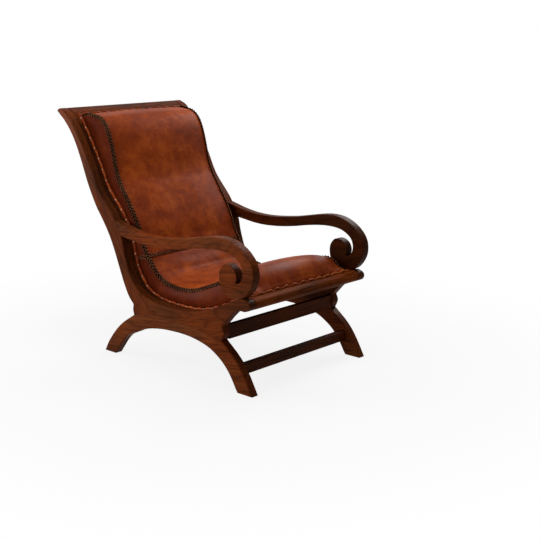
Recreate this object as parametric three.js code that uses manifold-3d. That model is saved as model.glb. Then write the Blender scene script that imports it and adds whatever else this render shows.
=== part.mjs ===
// Planters chair: two shaped side frames with scroll arms, joined by rails, carrying a padded leather seat
// The model stands on z = 0, its back rises towards +y and the sitter looks along -y

import * as THREE from 'three';
import { mergeVertices } from 'three/addons/utils/BufferGeometryUtils.js';
import Module from 'manifold-3d';

const wasm = await Module();
wasm.setup();

// Overall size, in millimetres
const chairDepth = 1102;
const chairHeight = 972;
const chairWidth = 658;

// Timber
const boardThickness = 36;
const armThickness = 36;
const crestThickness = 26;
const rearRailThickness = 22;
const upperStretcherThickness = 20;
const upperStretcherHeight = 54;
const lowerStretcherThickness = 25;
const lowerStretcherHeight = 39;
const edgeRound = 3;
const railRound = 2;
const battenWidth = 27;
const battenDepth = 30;
const deckThickness = 8;

// Joinery
const jointGap = 0.3;
const tenonLength = 18;
const tenonShoulder = 6;
const dowelRadius = 5;
const dowelLength = 40;

// Upholstery
const frameLedge = 29;
const sideWeltWidth = 12.5;
const endWeltWidth = 10;
const weltHeight = 6;
const weltRound = 1.6;
const cushionCrown = 33;
const cushionCorner = 7;
const gussetInset = 15.5;
const fullInsetHeight = 30;
const gussetBulge = 5.5;
const fullBulgeHeight = 60;
const creaseGap = 1;
const cushionGap = 0.8;
const lacingWidth = 14;
const lacingHeight = 5;
const lacingGap = 1.2;

// Fineness of the curves
const curveTolerance = 0.35;
const samplesPerPoint = 12;
const armEdgeSteps = 2;
const dowelSides = 10;
const cutOverrun = 40;

// Places across the chair
const outerX = chairWidth / 2;
const innerX = outerX - boardThickness;
const boardMiddleX = outerX - boardThickness / 2;
const armMiddleX = outerX - armThickness / 2;
const battenX = innerX - battenWidth;
const padX = innerX - frameLedge;

// Outlines, each point as a share of the depth from the front and of the height from the floor
const seatLineShares = [
  [0.98, 1], [0.944, 0.983], [0.907, 0.94], [0.868, 0.877], [0.819, 0.784], [0.773, 0.686],
  [0.691, 0.58], [0.65, 0.502], [0.636, 0.437], [0.612, 0.363], [0.566, 0.299], [0.497, 0.27],
  [0.388, 0.26], [0.289, 0.267], [0.207, 0.293], [0.116, 0.341], [0.071, 0.362], [0.042, 0.367],
];
const noseShares = [
  [0.042, 0.367], [0.027, 0.362], [0.018, 0.354], [0.015, 0.343], [0.021, 0.33], [0.032, 0.323],
  [0.045, 0.32], [0.062, 0.321],
];
const neckShares = [[0.062, 0.321], [0.084, 0.31], [0.107, 0.287], [0.127, 0.263], [0.143, 0.243]];
const frontShoulderShares = [[0.143, 0.243], [0.135, 0.218], [0.147, 0.185]];
const frontLegShares = [
  [0.147, 0.185], [0.125, 0.166], [0.098, 0.142], [0.071, 0.112], [0.044, 0.07], [0.025, 0.034], [0.009, 0],
];
const archShares = [
  [0.075, 0], [0.084, 0.014], [0.098, 0.041], [0.116, 0.07], [0.143, 0.101], [0.171, 0.123],
  [0.207, 0.144], [0.252, 0.158], [0.298, 0.166], [0.352, 0.169], [0.388, 0.168], [0.434, 0.165],
  [0.479, 0.158], [0.514, 0.15], [0.554, 0.135], [0.588, 0.117], [0.631, 0.095], [0.661, 0.064],
  [0.684, 0.031], [0.706, 0],
];
const rearLegShares = [
  [0.766, 0], [0.751, 0.031], [0.733, 0.06], [0.697, 0.106], [0.661, 0.142], [0.626, 0.168], [0.593, 0.191],
];
const rearShoulderShares = [[0.593, 0.191], [0.598, 0.212], [0.595, 0.235]];
const rearEdgeShares = [
  [0.595, 0.235], [0.619, 0.263], [0.642, 0.309], [0.672, 0.387], [0.695, 0.449], [0.721, 0.506],
  [0.751, 0.556], [0.791, 0.616], [0.833, 0.703], [0.869, 0.799], [0.907, 0.883], [0.951, 0.944], [1, 0.989],
];
const crestTipShares = [[1, 0.989], [0.995, 0.994], [0.988, 0.998], [0.98, 1]];
const armTopShares = [
  [0.701, 0.57], [0.681, 0.565], [0.624, 0.55], [0.588, 0.542], [0.543, 0.535], [0.488, 0.532],
  [0.434, 0.534], [0.379, 0.54], [0.325, 0.548], [0.27, 0.56], [0.216, 0.572], [0.175, 0.579],
  [0.139, 0.58], [0.103, 0.575], [0.069, 0.561], [0.039, 0.54], [0.016, 0.514], [0.004, 0.489],
  [0, 0.463], [0.002, 0.437], [0.01, 0.414], [0.024, 0.391], [0.042, 0.373], [0.062, 0.363],
  [0.08, 0.36], [0.098, 0.36], [0.116, 0.364], [0.132, 0.372], [0.144, 0.387], [0.152, 0.407],
  [0.155, 0.432], [0.153, 0.453], [0.145, 0.47], [0.132, 0.483], [0.114, 0.486], [0.098, 0.481],
  [0.084, 0.469], [0.077, 0.454], [0.075, 0.436], [0.08, 0.419],
];
const armUndersideShares = [
  [0.08, 0.419], [0.064, 0.424], [0.053, 0.439], [0.048, 0.461], [0.052, 0.483], [0.062, 0.5],
  [0.078, 0.513], [0.103, 0.525], [0.134, 0.531], [0.171, 0.532], [0.216, 0.528], [0.27, 0.519],
  [0.325, 0.507], [0.379, 0.498], [0.434, 0.492], [0.488, 0.49], [0.543, 0.493], [0.597, 0.501],
  [0.65, 0.508], [0.679, 0.512],
];

// Glue lines between the leg arch, the seat rail and the stile, run on past the outline
const archJointShares = [
  [-0.2, 0.182], [0.129, 0.182], [0.147, 0.185], [0.252, 0.203], [0.388, 0.211], [0.501, 0.21],
  [0.593, 0.191], [0.611, 0.188], [1.2, 0.188],
];
const footJointShares = [[0.36, -0.257], [0.501, 0.21], [0.518, 0.275], [0.75, 1.2]];
const belowShares = [[1.2, -0.2], [-0.2, -0.2]];
const aboveShares = [[1.2, 1.2], [-0.2, 1.2]];
const behindShares = [[1.2, 1.2], [1.2, -0.257]];
const beforeShares = [[-0.2, 1.2], [-0.2, -0.257]];

// Places along the seat line, as shares of its length from the crest tip to the nose
const crestEndShare = 0.0706;
const creaseShare = 0.491;
const noseEndShare = 1;
const headWeltShare = 0.0377;
const frontWeltShare = 0.9896;
const rearRailShares = [0.442, 0.487];

// Rails under the seat, as shares of the depth and the height
const frontRailRearShare = 0.071;
const frontTenonShares = [[0.032, 0.332], [0.058, 0.355]];
const upperStretcherShares = [0.1525, 0.214];
const lowerStretcherShares = [0.0848, 0.083];

// Dowels that lie along z across the leg arch joint, and the other dowel places
const archDowelShares = [[0.189, 0.192], [0.334, 0.208], [0.47, 0.21], [0.525, 0.205], [0.57, 0.196]];
const footDowelShares = [0.5095, 0.243];
const armRearDowelShares = [0.665, 0.536];
const armFrontDowelShares = [0.0735, 0.362];

// Cushion rows from the head to the front: share of the seat line, edge depth and height, crown
const cushionShares = [
  [0.0455, 0.9237, 0.9741, 0.05], [0.0507, 0.8955, 0.9761, 0.09],
  [0.07, 0.8652, 0.9721, 0.12], [0.092, 0.8289, 0.964, 0.24],
  [0.116, 0.8014, 0.9396, 0.36], [0.142, 0.7832, 0.9042, 0.42],
  [0.171, 0.7701, 0.8629, 0.45], [0.203, 0.758, 0.8117, 0.45],
  [0.236, 0.747, 0.7576, 0.42], [0.27, 0.729, 0.7076, 0.39],
  [0.309, 0.705, 0.6676, 0.36], [0.35, 0.6729, 0.6135, 0.33],
  [0.388, 0.6471, 0.568, 0.3], [0.422, 0.624, 0.5182, 0.3],
  [0.456, 0.6069, 0.4667, 0.24], [0.491, 0.5839, 0.424, 0.22],
  [0.517, 0.566, 0.3972, 0.24], [0.543, 0.5464, 0.3722, 0.39],
  [0.571, 0.5231, 0.3484, 0.39], [0.599, 0.4946, 0.3328, 0.49],
  [0.628, 0.4622, 0.3248, 0.57], [0.658, 0.424, 0.3201, 0.63],
  [0.688, 0.378, 0.3221, 0.71], [0.722, 0.3331, 0.3321, 0.79],
  [0.757, 0.289, 0.3501, 0.85], [0.791, 0.247, 0.3702, 0.91],
  [0.828, 0.2038, 0.3922, 0.95], [0.864, 0.1645, 0.4063, 0.98],
  [0.897, 0.1281, 0.4134, 0.98], [0.928, 0.1025, 0.4022, 0.91],
  [0.955, 0.0843, 0.386, 0.71], [0.975, 0.0728, 0.3776, 0.55],
  [0.983, 0.0636, 0.3747, 0.32], [0.989, 0.0567, 0.3719, 0.04],
];
const creaseRow = 15;
const backStations = 25;
const seatStations = 28;
const crownSteps = 8;
const crownPower = 3.5;
const cornerSideShare = 0.4;
const lacingSideShare = 0.8;

// Side of a cushion above the welt: share of its height there, and share of the bulge
const gussetShares = [[0, 0], [0.3, 1], [0.7, 0.8]];
const straightSideShare = 0.5;

// Finishes
const wood = { color: 0x6e3b22, roughness: 0.42, metalness: 0 };
const hiddenWood = { color: 0xa87b4f, roughness: 0.7, metalness: 0 };
const leather = { color: 0x8a4a25, roughness: 0.5, metalness: 0 };
const weltLeather = { color: 0xa65a26, roughness: 0.5, metalness: 0 };
const lacingLeather = { color: 0x2e1b12, roughness: 0.6, metalness: 0 };

const chair = new THREE.Group();

function addPiece(name, geometry, finish) {
  const shown = geometry.index ? geometry.toNonIndexed() : geometry;
  shown.computeVertexNormals();
  const mesh = new THREE.Mesh(shown, new THREE.MeshStandardMaterial({ ...finish, flatShading: true }));
  mesh.name = name;
  chair.add(mesh);
}

// Closed solid of a geometry, for cutting and joining
function solidOf(geometry) {
  const bare = geometry.clone();
  bare.deleteAttribute('normal');
  bare.deleteAttribute('uv');
  const merged = mergeVertices(bare);
  const mesh = new wasm.Mesh({
    numProp: 3,
    vertProperties: new Float32Array(merged.attributes.position.array),
    triVerts: new Uint32Array(merged.index.array),
  });
  return new wasm.Manifold(mesh);
}

function geometryOf(solid) {
  const mesh = solid.getMesh();
  const geometry = new THREE.BufferGeometry();
  geometry.setAttribute('position', new THREE.BufferAttribute(mesh.vertProperties, mesh.numProp));
  geometry.setIndex(new THREE.BufferAttribute(mesh.triVerts, 1));
  return geometry;
}

// Side view point (y, z) of a pair of shares
function place([depthShare, heightShare]) {
  const y = depthShare * chairDepth - chairDepth / 2;
  return new THREE.Vector2(y, heightShare * chairHeight);
}

function smoothCurve(points) {
  const inSpace = points.map((point) => new THREE.Vector3(point.x, point.y, point.z ?? 0));
  const curve = new THREE.CatmullRomCurve3(inSpace, false, 'centripetal');
  curve.arcLengthDivisions = points.length * samplesPerPoint;
  return curve;
}

// Leaves out the points that lie within the tolerance of the line past them
function simplify(points) {
  const first = points[0];
  const chord = points[points.length - 1].clone().sub(first);
  const offsets = points.map((point) => Math.abs(point.clone().sub(first).cross(chord)) / chord.length());
  const farthest = offsets.indexOf(Math.max(...offsets));
  if (offsets[farthest] < curveTolerance) {
    return [first, points[points.length - 1]];
  }
  const before = simplify(points.slice(0, farthest + 1));
  return [...before, ...simplify(points.slice(farthest)).slice(1)];
}

// Smooth stretch of an outline through its shares
function stretch(shares) {
  const curve = smoothCurve(shares.map(place));
  const samples = curve.getPoints(shares.length * samplesPerPoint);
  return simplify(samples.map((point) => new THREE.Vector2(point.x, point.y)));
}

// Outline made of stretches, without the points that repeat the one before
function joined(...stretches) {
  const points = stretches.flat();
  return points.filter((point, index) => point.distanceTo(points.at(index - 1)) > curveTolerance);
}

function shifted(points, y, z) {
  const shift = new THREE.Vector2(y, z);
  return points.map((point) => point.clone().add(shift));
}

function rectangle(centre, thickness, height) {
  const half = new THREE.Vector2(thickness / 2, height / 2);
  const low = centre.clone().sub(half);
  const high = centre.clone().add(half);
  return [low, new THREE.Vector2(high.x, low.y), high, new THREE.Vector2(low.x, high.y)];
}

// Board with the given side view, between two places across the chair
const sideView = new THREE.Matrix4().makeBasis(
  new THREE.Vector3(0, 1, 0),
  new THREE.Vector3(0, 0, 1),
  new THREE.Vector3(1, 0, 0),
);

function board(outline, [fromX, toX], round = 0, roundSteps = 1) {
  const geometry = new THREE.ExtrudeGeometry(new THREE.Shape(outline), {
    depth: toX - fromX - 2 * round,
    bevelEnabled: round > 0,
    bevelThickness: round,
    bevelSize: round,
    bevelOffset: -round,
    bevelSegments: roundSteps,
    steps: 1,
  });
  geometry.translate(0, 0, fromX + round);
  return geometry.applyMatrix4(sideView);
}

// Span across the chair between two distances from its middle, on one side of it
function span(side, nearX, farX) {
  return side > 0 ? [nearX, farX] : [-farX, -nearX];
}

const sides = [{ side: -1, word: 'right' }, { side: 1, word: 'left' }];
const throughX = [-outerX - cutOverrun, outerX + cutOverrun];

// Seat line: the front edge of the stile and the top edge of the seat rail, which carries the upholstery
const seatLine = smoothCurve(seatLineShares.map(place));
const seatLineLength = seatLine.getLength();
const seatLineSteps = seatLineShares.length * samplesPerPoint;

// Point at a share of the seat line, lifted off it towards the sitter
function onSeatLine(share, lift = 0) {
  const point = seatLine.getPointAt(share);
  const tangent = seatLine.getTangentAt(share);
  return new THREE.Vector2(point.x + tangent.y * lift, point.y - tangent.x * lift);
}

// Outline of a strip along the seat line, between two lifts
function strip(fromShare, toShare, low, high) {
  const steps = Math.ceil((toShare - fromShare) * seatLineSteps);
  const shares = Array.from({ length: steps + 1 }, (_, step) => fromShare + (toShare - fromShare) * step / steps);
  const upper = simplify(shares.map((share) => onSeatLine(share, high)));
  const lower = simplify(shares.map((share) => onSeatLine(share, low)));
  return [...upper, ...lower.reverse()];
}

// Side frames
const seatEdge = stretch(seatLineShares);
const nose = stretch(noseShares);
const sideOutline = joined(
  seatEdge,
  nose,
  stretch(neckShares),
  stretch(frontShoulderShares),
  stretch(frontLegShares),
  stretch(archShares),
  stretch(rearLegShares),
  stretch(rearShoulderShares),
  stretch(rearEdgeShares),
  stretch(crestTipShares),
);

function region(...tables) {
  return tables.flat().map(place);
}

const archRegion = region(archJointShares, belowShares);
const upperRegion = region(archJointShares, aboveShares);
const railRegion = region(footJointShares, beforeShares);
const stileRegion = region(footJointShares, behindShares);

function cutter(outline, range = throughX) {
  return solidOf(board(outline, range));
}

// Front rail, as bull-nosed as the seat rails' noses beside it
const frontRailRearY = place([frontRailRearShare, 0]).x;
const frontRailTop = seatEdge.filter((point) => point.x < frontRailRearY);
const frontRailBottom = nose[nose.length - 1];
const seatLineOverRear = seatEdge[seatEdge.length - 1 - frontRailTop.length];
const topSlope = (frontRailTop[0].y - seatLineOverRear.y) / (frontRailTop[0].x - seatLineOverRear.x);
const frontRailTopRear = new THREE.Vector2(
  frontRailRearY,
  frontRailTop[0].y + topSlope * (frontRailRearY - frontRailTop[0].x),
);
const frontRailOutline = joined(
  [frontRailTopRear],
  frontRailTop,
  nose,
  [new THREE.Vector2(frontRailRearY, frontRailBottom.y)],
);

function box(corners, clearance) {
  const [low, high] = corners.map(place);
  const size = high.clone().sub(low);
  return rectangle(low.clone().add(high).divideScalar(2), size.x + 2 * clearance, size.y + 2 * clearance);
}

// Rails across the chair, each with the section of its tenons at a clearance
const upperStretcherCentre = place(upperStretcherShares);
const lowerStretcherCentre = place(lowerStretcherShares);
const tenonInset = tenonShoulder / seatLineLength;
const rearRailLift = -battenDepth - jointGap;
const crossRails = [
  {
    name: 'crest_rail',
    section: strip(0, crestEndShare, -crestThickness, 0),
    tenon: (clearance) => strip(
      2 * tenonInset - clearance / seatLineLength,
      crestEndShare - tenonInset + clearance / seatLineLength,
      tenonShoulder - crestThickness - clearance,
      clearance - tenonShoulder,
    ),
    finish: wood,
  },
  {
    name: 'front_rail',
    section: frontRailOutline,
    tenon: (clearance) => box(frontTenonShares, clearance),
    finish: wood,
  },
  {
    name: 'upper_stretcher',
    section: rectangle(upperStretcherCentre, upperStretcherThickness, upperStretcherHeight),
    tenon: (clearance) => rectangle(
      upperStretcherCentre,
      upperStretcherThickness - tenonShoulder + 2 * clearance,
      upperStretcherHeight - 2 * tenonShoulder + 2 * clearance,
    ),
    finish: wood,
  },
  {
    name: 'lower_stretcher',
    section: rectangle(lowerStretcherCentre, lowerStretcherThickness, lowerStretcherHeight),
    tenon: (clearance) => rectangle(
      lowerStretcherCentre,
      lowerStretcherThickness - 2 * tenonShoulder + 2 * clearance,
      lowerStretcherHeight - 2 * tenonShoulder + 2 * clearance,
    ),
    finish: wood,
  },
  {
    name: 'rear_rail',
    section: strip(...rearRailShares, rearRailLift - rearRailThickness, rearRailLift),
    tenon: (clearance) => strip(
      rearRailShares[0] + tenonInset - clearance / seatLineLength,
      rearRailShares[1] - tenonInset + clearance / seatLineLength,
      rearRailLift - rearRailThickness + tenonShoulder - clearance,
      rearRailLift - tenonShoulder + clearance,
    ),
    finish: hiddenWood,
  },
];
const railX = innerX - jointGap;
const tenonX = innerX + tenonLength;
const mortises = crossRails.map(({ tenon }) => (
  cutter(tenon(jointGap), [-tenonX - jointGap, tenonX + jointGap])
));
crossRails.forEach(({ name, section, tenon, finish }) => {
  const round = name === 'rear_rail' ? 0 : railRound;
  const body = solidOf(board(section, [-railX, railX], round));
  addPiece(name, geometryOf(body.add(cutter(tenon(0), [-tenonX, tenonX]))), finish);
});

// Dowels, each at a side view place and either upright or lying along the chair
const dowels = [
  ...archDowelShares.map((shares, index) => ({ name: `arch_dowel_${index + 1}`, shares, upright: true })),
  { name: 'foot_dowel', shares: footDowelShares, upright: false },
  { name: 'arm_rear_dowel', shares: armRearDowelShares, upright: false, arm: true },
  { name: 'arm_front_dowel', shares: armFrontDowelShares, upright: true, arm: true },
];

function dowelGeometry({ shares, upright, arm }, side, clearance = 0) {
  const radius = dowelRadius + clearance;
  const geometry = new THREE.CylinderGeometry(radius, radius, dowelLength + 2 * clearance, dowelSides);
  if (upright) {
    geometry.rotateX(Math.PI / 2);
  }
  const { x: y, y: z } = place(shares);
  return geometry.translate(side * (arm ? armMiddleX : boardMiddleX), y, z);
}

const frameBlock = cutter(shifted(sideOutline, -jointGap, jointGap));
const armOutline = joined(stretch(armTopShares), stretch(armUndersideShares));
sides.forEach(({ side, word }) => {
  const holes = dowels.map((dowel) => solidOf(dowelGeometry(dowel, side, jointGap)));
  const drilled = (solid) => holes.reduce((left, hole) => left.subtract(hole), solid);
  const boardBlank = solidOf(board(sideOutline, span(side, innerX, outerX), edgeRound));
  const frame = drilled(mortises.reduce((left, mortise) => left.subtract(mortise), boardBlank));
  const upper = frame.intersect(cutter(upperRegion));
  const legArch = frame.intersect(cutter(shifted(archRegion, 0, -jointGap)));
  const seatRail = upper.intersect(cutter(railRegion));
  const backStile = upper.intersect(cutter(shifted(stileRegion, jointGap, 0)));
  const armSpan = span(side, outerX - armThickness, outerX);
  const armBlank = solidOf(board(armOutline, armSpan, edgeRound, armEdgeSteps));
  addPiece(`leg_arch_${word}`, geometryOf(legArch), wood);
  addPiece(`seat_rail_${word}`, geometryOf(seatRail), wood);
  addPiece(`back_stile_${word}`, geometryOf(backStile), wood);
  addPiece(`arm_${word}`, geometryOf(drilled(armBlank.subtract(frameBlock))), wood);
  dowels.forEach((dowel) => addPiece(`${dowel.name}_${word}`, dowelGeometry(dowel, side), hiddenWood));
});

// Battens along the side frames and decks between them, flush with the seat line
const gapShare = jointGap / seatLineLength;
const beforeFrontRail = cutter(region(beforeShares).concat([
  new THREE.Vector2(frontRailRearY + jointGap, place(beforeShares[1]).y),
  new THREE.Vector2(frontRailRearY + jointGap, place(beforeShares[0]).y),
]));
const supports = [
  { part: 'back', from: crestEndShare + gapShare, to: creaseShare - gapShare },
  { part: 'seat', from: creaseShare, to: noseEndShare },
];
supports.forEach(({ part, from, to }) => {
  const battenOutline = strip(from, to, -battenDepth, 0);
  sides.forEach(({ side, word }) => {
    const batten = cutter(battenOutline, span(side, battenX, railX)).subtract(beforeFrontRail);
    addPiece(`${part}_batten_${word}`, geometryOf(batten), hiddenWood);
  });
  const deckX = battenX - jointGap;
  const deck = cutter(strip(from, to, -deckThickness, 0), [-deckX, deckX]).subtract(beforeFrontRail);
  addPiece(`${part}_deck`, geometryOf(deck), hiddenWood);
});

// Cushions: stations that lean from the seat line to the padded edge
const edgeCurve = smoothCurve(cushionShares.map(([, depth, height, crown]) => {
  const { x, y } = place([depth, height]);
  return new THREE.Vector3(x, y, crown * cushionCrown);
}));

function station(row, slide = 0) {
  const rowBefore = Math.min(Math.floor(row), cushionShares.length - 2);
  const [baseBefore] = cushionShares[rowBefore];
  const [baseAfter] = cushionShares[rowBefore + 1];
  const baseShare = THREE.MathUtils.lerp(baseBefore, baseAfter, row - rowBefore) + slide / seatLineLength;
  const curveShare = row / (cushionShares.length - 1);
  const edge = edgeCurve.getPoint(curveShare);
  const before = edgeCurve.getPoint(Math.max(curveShare - gapShare, 0));
  const ahead = edgeCurve.getPoint(Math.min(curveShare + gapShare, 1));
  const tangent = new THREE.Vector2(ahead.x - before.x, ahead.y - before.y).normalize();
  const corner = new THREE.Vector2(edge.x, edge.y).addScaledVector(tangent, slide);
  const base = onSeatLine(baseShare, cushionGap);
  const height = corner.distanceTo(base);
  const up = corner.clone().sub(base).normalize();
  const outward = new THREE.Vector2(tangent.y, -tangent.x);
  const cornerX = padX - gussetInset * Math.min(height / fullInsetHeight, 1);
  return { base, corner, cornerX, height, up, outward, crown: edge.z };
}

function sidePoint({ base, up }, x, height) {
  const { x: y, y: z } = base.clone().addScaledVector(up, height);
  return new THREE.Vector3(x, y, z);
}

function topPoint({ corner, cornerX, outward, crown }, x) {
  const rise = crown * (1 - Math.abs(x / cornerX) ** crownPower);
  const { x: y, y: z } = corner.clone().addScaledVector(outward, rise);
  return new THREE.Vector3(x, y, z);
}

function cornerSize({ height }) {
  return Math.min(cushionCorner, height * cornerSideShare);
}

// Side of a cushion from the base to the rounded corner, on the +x side
function sideProfile(at) {
  const bulge = gussetBulge * Math.min(at.height / fullBulgeHeight, 1) ** 2;
  const size = cornerSize(at);
  const top = at.height - size;
  const straight = Math.min(weltHeight + jointGap, top * straightSideShare);
  const points = gussetShares.map(([heightShare, bulgeShare]) => [
    THREE.MathUtils.lerp(padX, at.cornerX + size, heightShare) + bulge * bulgeShare,
    THREE.MathUtils.lerp(straight, top, heightShare),
  ]);
  return [[padX, 0], ...points, [at.cornerX + size, top]];
}

function cushionRing(at) {
  const profile = sideProfile(at);
  const plusSide = profile.map(([x, height]) => sidePoint(at, x, height));
  const minusSide = profile.map(([x, height]) => sidePoint(at, -x, height)).reverse();
  const top = Array.from({ length: crownSteps + 1 }, (_, step) => (
    topPoint(at, at.cornerX * (1 - 2 * step / crownSteps))
  ));
  return [...plusSide, ...top, ...minusSide];
}

// Closed skin through rings of equally many points, each ring mirrored end to end in itself
function loft(rings) {
  const count = rings[0].length;
  const indices = [];
  for (let ring = 0; ring < rings.length - 1; ring += 1) {
    for (let point = 0; point < count; point += 1) {
      const near = ring * count + point;
      const next = ring * count + (point + 1) % count;
      indices.push(near, next, near + count, next, next + count, near + count);
    }
  }
  const last = (rings.length - 1) * count;
  for (let point = 0; point < Math.floor(count / 2); point += 1) {
    const across = count - 1 - point;
    indices.push(point, across, point + 1, last + point, last + point + 1, last + across);
    if (across - 1 > point + 1) {
      indices.push(point + 1, across, across - 1, last + point + 1, last + across - 1, last + across);
    }
  }
  const geometry = new THREE.BufferGeometry();
  const places = rings.flat().flatMap((point) => point.toArray());
  geometry.setAttribute('position', new THREE.Float32BufferAttribute(places, 3));
  geometry.setIndex(indices);
  return geometry;
}

function rowsBetween(fromRow, toRow, count) {
  return Array.from({ length: count }, (_, step) => fromRow + (toRow - fromRow) * step / (count - 1));
}

const lastRow = cushionShares.length - 1;
const backRows = rowsBetween(0, creaseRow, backStations);
const seatRows = rowsBetween(creaseRow, lastRow, seatStations);
const backRings = backRows.map((row) => station(row, row === creaseRow ? -creaseGap / 2 : 0));
const seatRings = seatRows.map((row) => station(row, row === creaseRow ? creaseGap / 2 : 0));
addPiece('back_cushion', loft(backRings.map(cushionRing)), leather);
addPiece('seat_cushion', loft(seatRings.map(cushionRing)), leather);

// Lacing along the corner, over both cushions
function lacingRing(at, side) {
  const size = cornerSize(at);
  const width = Math.min(lacingWidth, at.height * lacingSideShare);
  const thickness = lacingHeight * width / lacingWidth;
  const section = [
    [-width / 2, 0], [-width / 2, thickness / 2], [-width / 4, thickness],
    [width / 4, thickness], [width / 2, thickness / 2], [width / 2, 0],
  ];
  return section.map(([along, lift]) => {
    const out = (along + lift + lacingGap) * Math.SQRT1_2;
    const up = (lift + lacingGap - along) * Math.SQRT1_2;
    return sidePoint(at, side * (at.cornerX + size / 2 + out), at.height - size / 2 + up);
  });
}

const creaseStation = station(creaseRow);
sides.forEach(({ side, word }) => {
  const stations = [...backRings.slice(0, -1), creaseStation, ...seatRings.slice(1)];
  const rings = stations.map((at) => lacingRing(at, side));
  addPiece(`lacing_${word}`, loft(side < 0 ? rings : rings.reverse()), lacingLeather);
});

// Strip that crosses the crease: its section lies along the chair and lifts off the leather
const beforeCrease = station(creaseRow - 1 / 2);
const afterCrease = station(creaseRow + 1 / 2);

function crossingRing(middle, before, after, lift) {
  const along = after.clone().sub(before).setX(0).normalize();
  const section = [
    [-lacingWidth / 2, 0], [-lacingWidth / 2, lacingHeight / 2], [-lacingWidth / 4, lacingHeight],
    [lacingWidth / 4, lacingHeight], [lacingWidth / 2, lacingHeight / 2], [lacingWidth / 2, 0],
  ];
  return section.map(([slide, rise]) => (
    middle.clone().addScaledVector(along, slide).addScaledVector(lift, rise + lacingGap)
  ));
}

const crossX = creaseStation.cornerX - lacingWidth / 2;
const crossRings = Array.from({ length: crownSteps + 1 }, (_, step) => {
  const x = 2 * crossX * step / crownSteps - crossX;
  const [middle, before, after] = [creaseStation, beforeCrease, afterCrease].map((at) => topPoint(at, x));
  const along = after.clone().sub(before).setX(0).normalize();
  return crossingRing(middle, before, after, new THREE.Vector3(0, along.z, -along.y));
});
addPiece('lacing_cross', loft(crossRings), lacingLeather);

// Lacing down the gussets at the crease, from under the corner lacing to above the welt
// Above the top of a profile, findIndex gives -1 and the profile's last stretch is carried on
sides.forEach(({ side, word }) => {
  const profiles = [creaseStation, beforeCrease, afterCrease].map(sideProfile);
  const lowest = weltHeight + lacingGap;
  const highest = creaseStation.height - lacingWidth;
  const heights = [lowest, ...profiles[0].map(([, height]) => height), highest]
    .filter((height) => height >= lowest && height <= highest)
    .sort((low, high) => low - high);
  const rings = heights.map((height) => {
    const [middle, before, after] = [creaseStation, beforeCrease, afterCrease].map((at, index) => {
      const above = profiles[index].findIndex(([, profileHeight]) => profileHeight >= height);
      const [lowX, lowHeight] = profiles[index].at(above - 1);
      const [highX, highHeight] = profiles[index].at(above);
      const x = THREE.MathUtils.mapLinear(height, lowHeight, highHeight, lowX, highX);
      return sidePoint(at, side * x, height);
    });
    return crossingRing(middle, before, after, new THREE.Vector3(side, 0, 0));
  });
  addPiece(`lacing_gusset_${word}`, loft(side < 0 ? rings : rings.reverse()), lacingLeather);
});

// Welts on the ledge round the cushions
const weltX = padX + cushionGap;
const endWeltShare = endWeltWidth / seatLineLength;
const frontWeltEndShare = frontWeltShare + endWeltShare;
const sideWelt = strip(headWeltShare, frontWeltEndShare, jointGap, weltHeight);
sides.forEach(({ side, word }) => {
  addPiece(`side_welt_${word}`, board(sideWelt, span(side, weltX, weltX + sideWeltWidth), weltRound), weltLeather);
});
const endWeltX = [jointGap - weltX, weltX - jointGap];
const headWelt = strip(headWeltShare, headWeltShare + endWeltShare, jointGap, weltHeight);
addPiece('head_welt', board(headWelt, endWeltX, weltRound), weltLeather);
const frontWelt = strip(frontWeltShare, frontWeltEndShare, jointGap, weltHeight);
addPiece('front_welt', board(frontWelt, endWeltX, weltRound), weltLeather);

export default chair;
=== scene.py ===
import math

import bmesh
import bpy
import numpy as np
from mathutils import Matrix, Vector


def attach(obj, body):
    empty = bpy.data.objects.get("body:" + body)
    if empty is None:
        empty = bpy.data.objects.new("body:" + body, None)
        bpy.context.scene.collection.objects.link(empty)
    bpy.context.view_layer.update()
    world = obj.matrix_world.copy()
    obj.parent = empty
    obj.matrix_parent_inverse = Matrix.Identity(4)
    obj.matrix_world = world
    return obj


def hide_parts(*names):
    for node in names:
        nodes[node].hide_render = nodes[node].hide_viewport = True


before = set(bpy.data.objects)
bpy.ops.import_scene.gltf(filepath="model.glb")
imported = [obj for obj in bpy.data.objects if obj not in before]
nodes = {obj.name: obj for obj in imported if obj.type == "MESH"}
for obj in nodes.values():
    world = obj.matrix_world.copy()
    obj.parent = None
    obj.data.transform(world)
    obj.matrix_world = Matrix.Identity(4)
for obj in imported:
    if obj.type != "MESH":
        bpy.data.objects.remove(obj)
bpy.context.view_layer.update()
scene = bpy.context.scene


# Side frames
# Each is three boards of reddish hardwood, glued edge to edge: a leg arch, a seat rail and a back stile.
# They are sawn to their curves, their arrises are eased by hand, and the wood is oiled and waxed.

class Wire:
    """What comes out of a shader node. Plus and times on it add Math nodes."""

    def __init__(self, recipe, socket):
        self.recipe = recipe
        self.socket = socket

    def __add__(self, other):
        return self.recipe.node("Math", {"operation": "ADD"}, {0: self, 1: other})

    def __mul__(self, other):
        return self.recipe.node("Math", {"operation": "MULTIPLY"}, {0: self, 1: other})

    __radd__ = __add__
    __rmul__ = __mul__


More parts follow.
